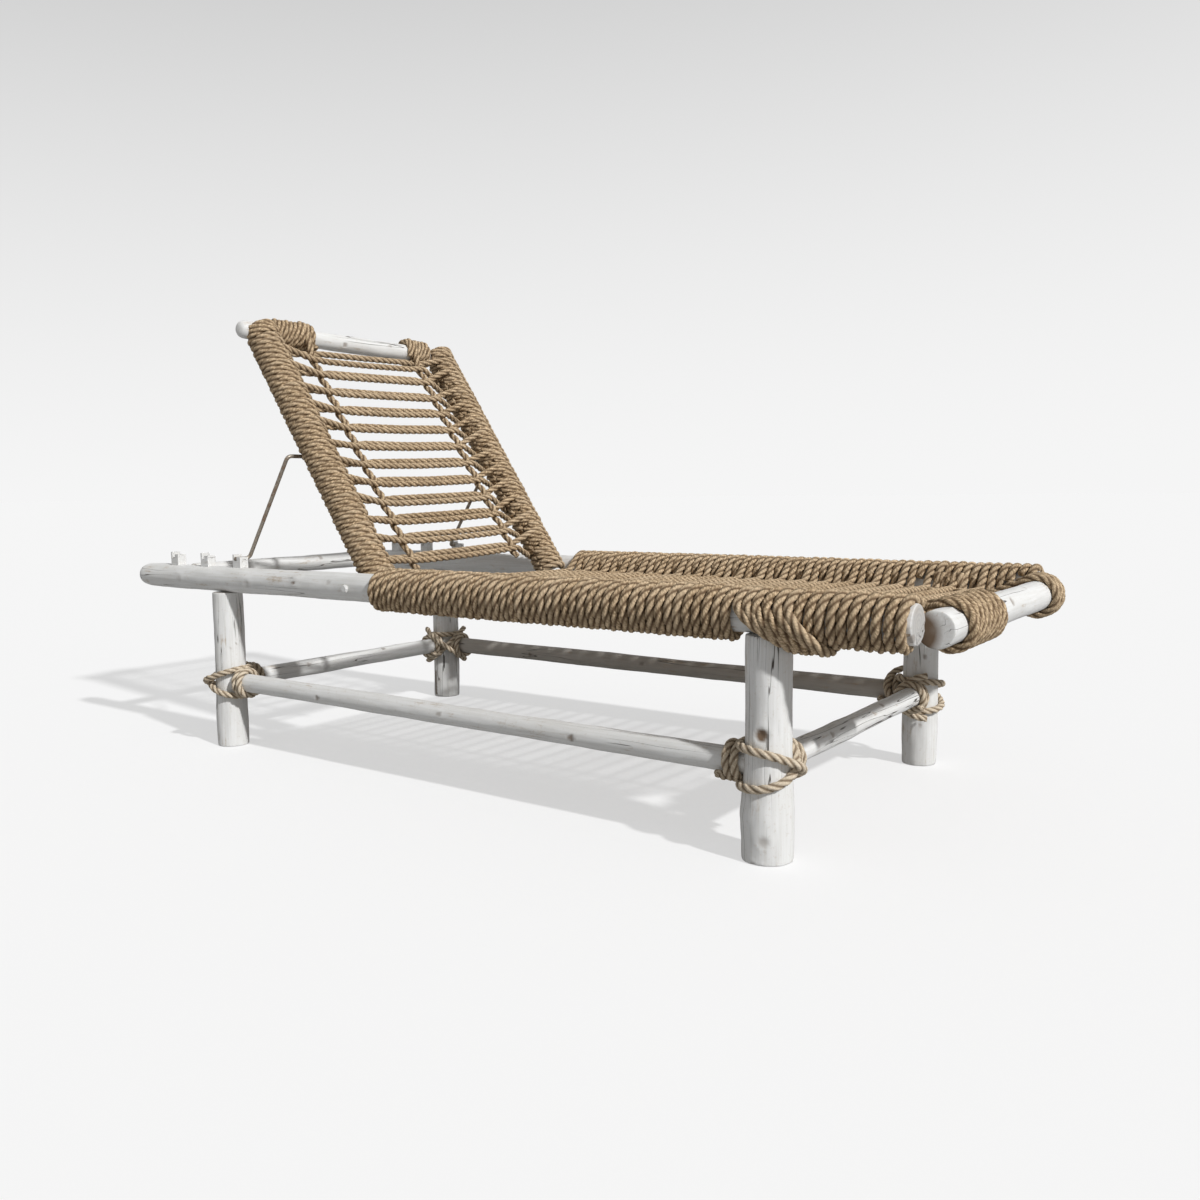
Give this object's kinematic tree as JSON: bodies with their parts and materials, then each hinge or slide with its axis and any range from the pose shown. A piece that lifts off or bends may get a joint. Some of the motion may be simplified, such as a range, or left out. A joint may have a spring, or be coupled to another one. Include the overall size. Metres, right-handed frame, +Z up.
{
  "type": "rope woven sun lounger",
  "caption": "Rustic sun lounger of whitewashed round poles with a woven rope seat and a hinged rope backrest held by side props.",
  "frame": {"origin": "on the floor, below the middle of the whole lounger at rest", "axes": "+X from the head end to the foot end, +Y from the near side rail to the far side rail, +Z up"},
  "size_m": [2.06, 0.8628, 1.0111],
  "materials": {
    "white_paint": "thin worn whitewash on hand cut round poles",
    "tan_rope": "three strand natural fibre rope",
    "pale_rope": "bleached three strand natural fibre rope",
    "weathered_steel": "dull rod and screws with brown rust specks"
  },
  "bodies": {
    "frame": {"near_side_rail": "white_paint", "far_side_rail": "white_paint", "foot_rail": "white_paint", "rear_cross_rail": "white_paint", "near_rear_leg": "white_paint", "far_rear_leg": "white_paint", "near_front_leg": "white_paint", "far_front_leg": "white_paint", "near_long_stretcher": "white_paint", "far_long_stretcher": "white_paint", "rear_stretcher": "white_paint", "front_stretcher": "white_paint", "near_prop_rest_1": "white_paint", "near_prop_rest_2": "white_paint", "near_prop_rest_3": "white_paint", "far_prop_rest_1": "white_paint", "far_prop_rest_2": "white_paint", "far_prop_rest_3": "white_paint", "near_hinge_bolt": "white_paint", "far_hinge_bolt": "white_paint", "near_foot_rail_screw": "weathered_steel", "far_foot_rail_screw": "weathered_steel", "near_hinge_spacer": "weathered_steel", "far_hinge_spacer": "weathered_steel", "near_seat_winding": "tan_rope", "far_seat_winding": "tan_rope", "seat_strands": "tan_rope", "near_foot_winding": "tan_rope", "far_foot_winding": "tan_rope", "near_rear_lashing": "pale_rope", "far_rear_lashing": "pale_rope", "near_front_lashing": "pale_rope", "far_front_lashing": "pale_rope"},
    "backrest": {"near_backrest_pole": "white_paint", "far_backrest_pole": "white_paint", "backrest_top_rail": "white_paint", "near_prop_eye": "weathered_steel", "far_prop_eye": "weathered_steel", "near_top_rail_screw": "weathered_steel", "far_top_rail_screw": "weathered_steel", "near_backrest_winding": "tan_rope", "far_backrest_winding": "tan_rope", "near_top_winding": "tan_rope", "far_top_winding": "tan_rope", "backrest_net": "tan_rope"},
    "near_prop_arm": {"near_prop": "weathered_steel"},
    "far_prop_arm": {"far_prop": "weathered_steel"}
  },
  "joints": [
    {"name": "backrest_hinge", "type": "hinge", "parent": "frame", "child": "backrest", "pos_m": [-0.234, 0, 0.3983], "axis": [0, 1, 0], "range_deg": [-46, 24]},
    {"name": "near_prop_hinge", "type": "hinge", "parent": "backrest", "child": "near_prop_arm", "pos_m": [-0.48297, -0.294, 0.68278], "axis": [0, 1, 0], "range_deg": [-67.2, 128.8]},
    {"name": "far_prop_hinge", "type": "hinge", "parent": "backrest", "child": "far_prop_arm", "pos_m": [-0.48297, 0.294, 0.68278], "axis": [0, 1, 0], "range_deg": [-67.2, 128.8]}
  ],
  "couplings": [
    {"joint": "near_prop_hinge", "follows": "backrest_hinge", "ratio": -2.8},
    {"joint": "far_prop_hinge", "follows": "backrest_hinge", "ratio": -2.8}
  ]
}
